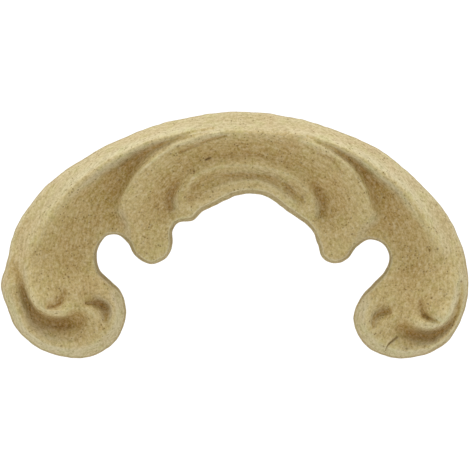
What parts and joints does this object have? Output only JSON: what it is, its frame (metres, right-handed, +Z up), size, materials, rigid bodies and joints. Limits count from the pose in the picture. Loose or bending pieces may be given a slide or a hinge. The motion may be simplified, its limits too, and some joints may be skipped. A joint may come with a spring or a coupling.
{
  "type": "arched scroll applique",
  "caption": "Arched scroll applique of moulded wood pulp: a bevelled arch with a hollow scroll at each end, a raised cartouche over the crown, and a flat back.",
  "frame": {"origin": "on the flat back, behind the middle of the arch's crown", "axes": "+Z up the wall or rail it is fixed to, +X to the right as seen from the front, -Y out of the front, +Y into what it is fixed to"},
  "size_m": [0.1169, 0.0111, 0.0617],
  "materials": {
    "wood_pulp": "raw pressed wood pulp, dull and fine-grained"
  },
  "bodies": {
    "root": {"applique": "wood_pulp"}
  },
  "joints": []
}
